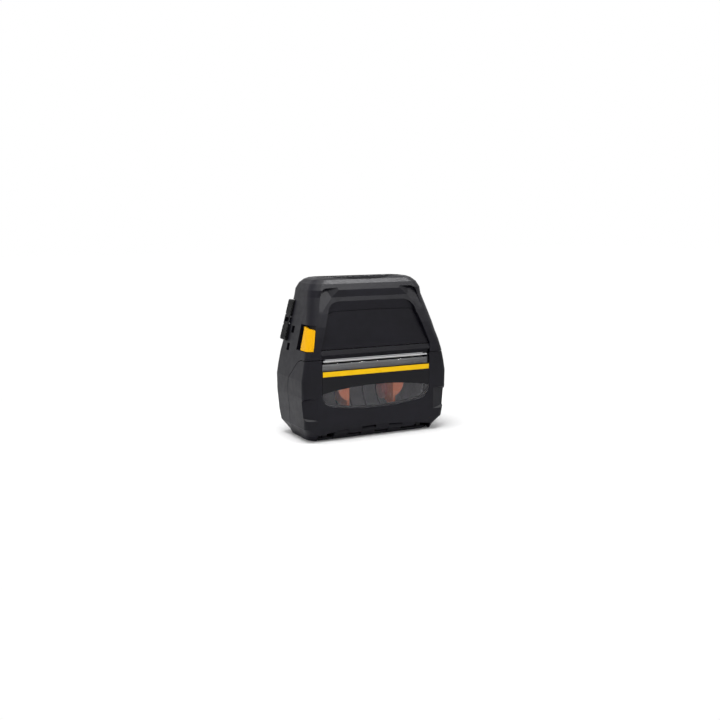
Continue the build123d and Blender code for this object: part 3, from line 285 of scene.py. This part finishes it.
def ribbed_bay(name, colour):
    """The media bay's plastic: painted shade along each rib, which stand across X, and at its bottom."""
    material = moulded(name, colour, level=0.15)
    tree = material.node_tree
    shader = tree.nodes["Principled BSDF"]
    place = axes(tree)
    to_rib = calculate(tree, "PINGPONG", place["X"], RIB_PITCH / 2)
    # Painted shade: a dark line along each rib, where the rib's shadow falls
    paint_over(tree, shader, spread(tree, to_rib, RIB_SHADE_CORE, RIB_SHADE_WIDTH, 1.0, 0.0), PAINTED_SHADE_COLOUR)
    # Painted shade: the bay darkened below a set height, at its shaded bottom
    low = spread(tree, place["Z"], BAY_SHADE_HEIGHT, BAY_SHADE_HEIGHT + BAY_SHADE_FADE, 1.0, 0.0)
    paint_over(tree, shader, low, PAINTED_SHADE_COLOUR)
    return material


# Plastics and rubbers, by material slot: colour and what differs from the usual moulding
MOULDINGS = {
    "housing_plastic": ((0.0056, 0.0053, 0.0086), {"rough": (0.38, 0.48), "level": 0.14}),
    "inner_plastic": ((0.006, 0.0058, 0.0085), {"rough": (0.38, 0.48), "level": 0.1}),
    "panel_gloss": ((0.0055, 0.0052, 0.008), {"rough": (0.3, 0.36), "depth": 0.006 * MM, "level": 0.12}),
    "key_rubber": ((0.02, 0.02, 0.024), {"rough": (0.6, 0.75), "level": 0.05}),
    "yellow_plastic": ((0.72, 0.36, 0.002), {"variation": 0.05, "rough": (0.35, 0.5), "level": 0.06}),
    "yellow_ink": ((0.84, 0.5, 0.003),
                   {"variation": 0.04, "rough": (0.25, 0.35), "depth": 0.004 * MM, "level": 0.12}),
    "cover_rubber": ((0.004, 0.004, 0.0045), {"rough": (0.5, 0.65), "level": 0.12}),
    "foot_rubber": ((0.006, 0.006, 0.006), {"rough": (0.6, 0.75), "level": 0.12}),
    "platen_rubber": ((0.016, 0.016, 0.017), {"rough": (0.5, 0.6)}),
    "gear_acetal": ((0.62, 0.6, 0.55), {"variation": 0.05, "rough": (0.35, 0.45)}),
    "orange_solid": ((0.6, 0.12, 0.08), {"variation": 0.1, "rough": (0.25, 0.35), "level": 0.5}),
    "board_green": ((0.012, 0.11, 0.045), {"variation": 0.15, "rough": (0.25, 0.4), "level": 0.5}),
    "chip_black": ((0.008, 0.008, 0.009), {"rough": (0.4, 0.5)}),
    "ceramic": ((0.6, 0.6, 0.57), {"variation": 0.05, "rough": (0.2, 0.3), "level": 0.5}),
    "socket_plastic": ((0.01, 0.01, 0.011), {"rough": (0.35, 0.45)}),
}
# Metals, by material slot: colour and what differs
METALS = {
    "steel": ((0.62, 0.62, 0.63), {}),
    "motor_steel": ((0.5, 0.5, 0.51), {"stretch": (60, 60, 1)}),
    "aluminium": ((0.75, 0.76, 0.77), {}),
    "gold_contact": ((0.85, 0.62, 0.25), {"rough": (0.15, 0.25)}),
}
# Clear plastics, by material slot: colour, how much they hide, and what differs
CLEARS = {
    "smoke_lens": ((0.01, 0.01, 0.012), 0.14, {"level": 0.3}),
    "orange_clear": ((0.95, 0.25, 0.1), 0.84, {"rough": (0.2, 0.3), "level": 0.3}),
    "light_clear": ((0.5, 0.52, 0.52), 0.6, {"rough": (0.1, 0.2)}),
}


def slot_finishes():
    finishes = {name: moulded(name, colour, **values) for name, (colour, values) in MOULDINGS.items()}
    finishes |= {name: metal(name, colour, **values) for name, (colour, values) in METALS.items()}
    for name, (colour, alpha, values) in CLEARS.items():
        finishes[name] = clear(name, colour, alpha, **values)
    return finishes


def own_finishes():
    """Finishes of single nodes that differ from their slot's."""
    return {
        "door_lens": printed_lens("window_lens"),
        "door_hinge_pin": metal("pin_steel", (0.045, 0.045, 0.05), rough=(0.35, 0.5)),
        "media_bay": ribbed_bay("bay_plastic", (0.22, 0.215, 0.23)),
        # Painted light: the base plate's housing plastic made lighter, as light catches the hinge strip
        # under the chin
        "base_plate": moulded("painted_light_base_plastic", (0.009, 0.0088, 0.012), rough=(0.45, 0.55), level=0.12),
        "control_bezel": moulded("bezel_plastic", (0.006, 0.006, 0.0075), rough=(0.55, 0.65), level=0.03),
    }


def dress_nodes():
    by_slot = slot_finishes()
    by_node = own_finishes()
    for entry in frame["record"]["subparts"]:
        name = entry["node"]
        piece = nodes[name]
        finish = by_node.get(name, by_slot[entry["material_slot"]])
        if not piece.material_slots:
            piece.data.materials.append(finish)
        for slot in piece.material_slots:
            slot.material = finish


# Small pieces that only the looks need
def settle(piece, name, finish, body, bevel):
    """Round a new piece's edges, give it its finish and fasten it to a body."""
    bpy.ops.object.mode_set(mode="EDIT")
    bpy.ops.mesh.select_all(action="SELECT")
    if bevel:
        bpy.ops.mesh.bevel(offset=bevel, segments=2, affect="EDGES")
    bpy.ops.mesh.normals_make_consistent(inside=False)
    bpy.ops.object.mode_set(mode="OBJECT")
    bpy.ops.object.transform_apply(location=True, rotation=True, scale=True)
    bpy.ops.object.shade_smooth_by_angle(angle=SMOOTH_ANGLE)
    piece.name = name
    piece.data.materials.append(finish)
    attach(piece, body)


def bar(name, low, high, finish, slot, body, bevel=0.0):
    """A small block between two corners, with softened edges if a bevel is given."""
    bpy.ops.object.select_all(action="DESELECT")
    middle = [(a + b) / 2 for a, b in zip(low, high)]
    bpy.ops.mesh.primitive_cube_add(size=1, location=middle)
    piece = bpy.context.object
    piece.scale = [b - a for a, b in zip(low, high)]
    bpy.ops.object.transform_apply(location=True, rotation=True, scale=True)
    settle(piece, name, finish, body, bevel)


def flat_mark(name, corners, radius, place, finish, slot, body, turn=0.0, ring_width=0.0):
    """A thin printed mark: a regular outline raised a little, or a ring if a width is given."""
    bpy.ops.object.select_all(action="DESELECT")
    bpy.ops.mesh.primitive_circle_add(vertices=corners, radius=radius, fill_type="NGON", location=place,
                                      rotation=(0, 0, turn))
    piece = bpy.context.object
    bpy.ops.object.mode_set(mode="EDIT")
    bpy.ops.mesh.select_all(action="SELECT")
    if ring_width:
        bpy.ops.mesh.inset(thickness=ring_width)
        bpy.ops.mesh.delete(type="FACE")
        bpy.ops.mesh.select_all(action="SELECT")
    bpy.ops.mesh.extrude_region_move(TRANSFORM_OT_translate={"value": (0, 0, MARK_HEIGHT)})
    bpy.ops.object.mode_set(mode="OBJECT")
    settle(piece, name, finish, body, 0)


def pad_marks(x, y, top, *style):
    """A ring in the middle of the pad and an arrow on each side of it."""
    flat_mark("pad_ring", 48, PAD_RING, (x, y, top), *style, ring_width=PAD_RING_WIDTH)
    for index in range(4):
        angle = index * pi / 2
        place = (x + PAD_ARROW_OUT * cos(angle), y + PAD_ARROW_OUT * sin(angle), top)
        flat_mark(f"pad_arrow_{index + 1}", 3, PAD_ARROW, place, *style, turn=angle - pi / 2)


def feed_marks(x, y, top, *style):
    """An arrow over a bar."""
    flat_mark("feed_arrow", 3, FEED_ARROW, (x, y + FEED_ARROW_UP, top), *style)
    low = (x - FEED_ARROW, y - FEED_BAR_LOW, top)
    high = (x + FEED_ARROW, y - FEED_BAR_HIGH, top + MARK_HEIGHT)
    bar("feed_bar", low, high, *style)


def power_marks(x, y, top, *style):
    """A ring with a short bar that stands across it."""
    flat_mark("power_ring", 40, POWER_RING, (x, y, top), *style, ring_width=POWER_RING_WIDTH)
    low = (x - POWER_BAR_HALF, y + POWER_BAR_LOW, top)
    high = (x + POWER_BAR_HALF, y + POWER_BAR_HIGH, top + POWER_BAR_HEIGHT)
    bar("power_bar", low, high, *style)


def soft_key_mark(name, x, y, top, *style):
    """A short bar across a soft key."""
    low = (x - SOFT_MARK_HALF, y - SOFT_MARK_DEPTH, top)
    high = (x + SOFT_MARK_HALF, y + SOFT_MARK_DEPTH, top + MARK_HEIGHT)
    bar(name, low, high, *style)


def middle_of(name):
    low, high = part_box(name)
    return (low[0] + high[0]) / 2, (low[1] + high[1]) / 2


def key_marks():
    """Plain marks on the keys, whose tops are level with the pad's."""
    white = moulded("mark_white", (0.55, 0.55, 0.56), variation=0.05, rough=(0.4, 0.5), level=0.2)
    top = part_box("navigation_pad")[1][2]
    pad_marks(*middle_of("navigation_pad"), top, white, "key_rubber", "nav_key")
    feed_marks(*middle_of("feed_button"), top, white, "key_rubber", "feed_key")
    power_marks(*middle_of("power_button"), top, white, "key_rubber", "power_key")
    for side in ("left", "right"):
        key = f"{side}_soft_key"
        soft_key_mark(f"{key}_mark", *middle_of(key), top, white, "key_rubber", f"{side}_key")


def painted_lens_reflection():
    """Painted reflection: a pale strip behind the top of the door's lens, over the yellow stripe."""
    # The strip stands in for the top light's reflection in the lens's rounded top edge
    grey = moulded("painted_reflection_grey", (0.2, 0.2, 0.205), variation=0.12, rough=(0.3, 0.45), level=0.4)
    low = (-REFLECTION_STRIP_HALF, REFLECTION_STRIP_FRONT, REFLECTION_STRIP_LOW)
    high = (REFLECTION_STRIP_HALF, REFLECTION_STRIP_BACK, REFLECTION_STRIP_HIGH)
    bar("painted_lens_reflection", low, high, grey, "inner_plastic", "door", bevel=REFLECTION_STRIP_BEVEL)


# Studio
def lamp(name, place, aim, size, power, sheen_only):
    data = bpy.data.lights.new(name, "AREA")
    data.shape = "RECTANGLE"
    data.size, data.size_y = size
    data.energy = power
    holder = bpy.data.objects.new(name, data)
    bpy.context.collection.objects.link(holder)
    holder.location = place
    holder.rotation_euler = (Vector(aim) - Vector(place)).to_track_quat("-Z", "Y").to_euler()
    holder.visible_diffuse = not sheen_only


def seen_rays(tree):
    """One for the rays that show the background: those of the camera, of gloss and of clear material."""
    rays = add(tree, "ShaderNodeLightPath").outputs
    seen = calculate(tree, "MAXIMUM", rays["Is Camera Ray"], rays["Is Glossy Ray"])
    return calculate(tree, "MAXIMUM", seen, rays["Is Transmission Ray"])


def world():
    studio = bpy.data.worlds.new("studio")
    bpy.context.scene.world = studio
    studio.use_nodes = True
    tree = studio.node_tree
    ground = tree.nodes["Background"]
    ground.inputs["Color"].default_value = (1, 1, 1, 1)
    strength = spread(tree, seen_rays(tree), 0.0, 1.0, WORLD_LIGHT, 1.0)
    tree.links.new(strength, ground.inputs["Strength"])


def floor_paper():
    """White paper that keeps the printer's shadow and fades to plain white further out."""
    material, tree, shader = new_material("floor_paper")
    place = object_place(tree)
    paper = blend_colours(tree, noise(tree, place, FLOOR_DRIFT), PAPER_DULL, PAPER_LIGHT)
    tree.links.new(paper, shader.inputs["Base Color"])
    shader.inputs["Roughness"].default_value = 0.9
    shader.inputs["Specular IOR Level"].default_value = 0.1
    far = add(tree, "ShaderNodeVectorMath", operation="LENGTH")
    tree.links.new(place, far.inputs[0])
    out = spread(tree, far.outputs["Value"], FADE_START, FADE_END, 0.0, 1.0)
    glow = add(tree, "ShaderNodeEmission")
    glow.inputs["Strength"].default_value = PAPER_GLOW
    tree.links.new(paper, glow.inputs["Color"])
    mix = add(tree, "ShaderNodeMixShader")
    tree.links.new(calculate(tree, "MULTIPLY", out, seen_rays(tree)), mix.inputs["Fac"])
    tree.links.new(shader.outputs[0], mix.inputs[1])
    tree.links.new(glow.outputs[0], mix.inputs[2])
    tree.links.new(mix.outputs[0], tree.nodes["Material Output"].inputs["Surface"])
    return material


def floor():
    bpy.ops.object.select_all(action="DESELECT")
    bpy.ops.mesh.primitive_plane_add(size=FLOOR_SIZE, location=(0, 0, 0))
    piece = bpy.context.object
    piece.name = "floor"
    piece.data.materials.append(floor_paper())


def camera():
    data = bpy.data.cameras.new("camera")
    data.lens = LENS
    data.sensor_width = SENSOR
    holder = bpy.data.objects.new("camera", data)
    bpy.context.collection.objects.link(holder)
    holder.location = CAMERA_PLACE
    holder.rotation_euler = (radians(90 - CAMERA_PITCH), 0, radians(-CAMERA_TURN))
    bpy.context.scene.camera = holder


dress_nodes()
key_marks()
painted_lens_reflection()
world()
floor()
for values in LAMPS:
    lamp(*values)
camera()
bpy.context.scene.view_settings.view_transform = "Standard"
